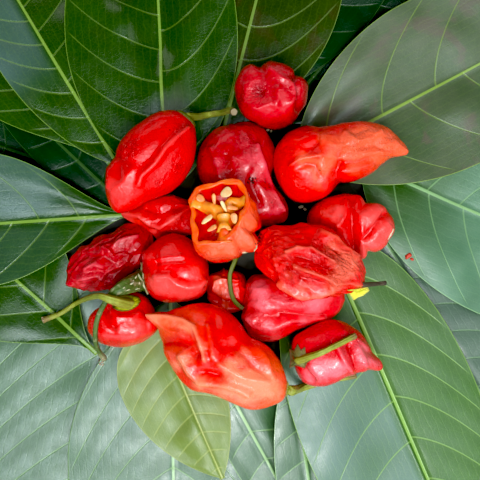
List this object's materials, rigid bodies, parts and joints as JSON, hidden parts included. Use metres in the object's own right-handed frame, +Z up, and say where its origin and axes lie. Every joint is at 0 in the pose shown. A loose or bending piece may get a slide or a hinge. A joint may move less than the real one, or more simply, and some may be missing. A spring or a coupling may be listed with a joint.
{
  "type": "heap of picked chilli pepper fruits on a bed of leaves",
  "caption": "Picked wrinkled red chilli pepper fruits, one of them cut open, heaped in the middle of a flat round bed of large pointed green leaves.",
  "frame": {"origin": "middle of the bounding box on the underside, where the lowest leaves lie on the surface", "axes": "+Z up out of the heap, its shortest extent; +Y towards the top of the picture and +X towards its right side"},
  "size_m": [0.3586, 0.3774, 0.0501],
  "materials": {
    "leaf_deep": "waxy leaf, deep green",
    "leaf_green": "waxy leaf, mid green",
    "leaf_pale": "waxy leaf with a pale bluish sheen",
    "leaf_yellow": "waxy leaf, yellow green",
    "skin_red": "glossy fruit skin, bright red",
    "skin_crimson": "glossy fruit skin, crimson",
    "skin_orange": "glossy fruit skin, orange red",
    "flesh": "moist orange flesh and cream seeds",
    "stalk": "ridged yellow green stalk"
  },
  "bodies": {
    "root": {"leaf_under_south": "leaf_deep", "leaf_under_north": "leaf_deep", "leaf_left_hidden": "leaf_deep", "leaf_top_hidden": "leaf_deep", "leaf_top_dark": "leaf_deep", "leaf_left_dark": "leaf_deep", "leaf_top_olive": "leaf_green", "leaf_left_high": "leaf_green", "leaf_top_left": "leaf_green", "leaf_left_low": "leaf_green", "leaf_left": "leaf_green", "leaf_top": "leaf_green", "leaf_right_dark": "leaf_pale", "leaf_bottom_left": "leaf_pale", "leaf_bottom": "leaf_pale", "leaf_bottom_mid": "leaf_pale", "leaf_bottom_narrow": "leaf_pale", "leaf_bottom_right": "leaf_pale", "leaf_right": "leaf_pale", "leaf_top_right": "leaf_pale", "leaf_small_yellow": "leaf_yellow", "pod_crumpled": "skin_red", "pod_right": "skin_red", "pod_low_left": "skin_red", "pod_centre_left": "skin_red", "pod_upper_left": "skin_red", "pod_top": "skin_crimson", "pod_folded": "skin_crimson", "pod_long_dark": "skin_crimson", "pod_left": "skin_crimson", "pod_low_right": "skin_crimson", "pod_small": "skin_orange", "pod_bottom": "skin_orange", "pod_hooked": "skin_orange", "pod_crinkled": "skin_orange", "pod_cut": "skin_orange", "pod_cut_core": "flesh", "stalk_centre_left": "stalk", "stalk_low_left": "stalk", "stalk_bottom": "stalk", "stalk_low_right": "stalk", "stalk_upper_left": "stalk", "stalk_crinkled": "stalk", "stalk_cut": "stalk"}
  },
  "joints": []
}
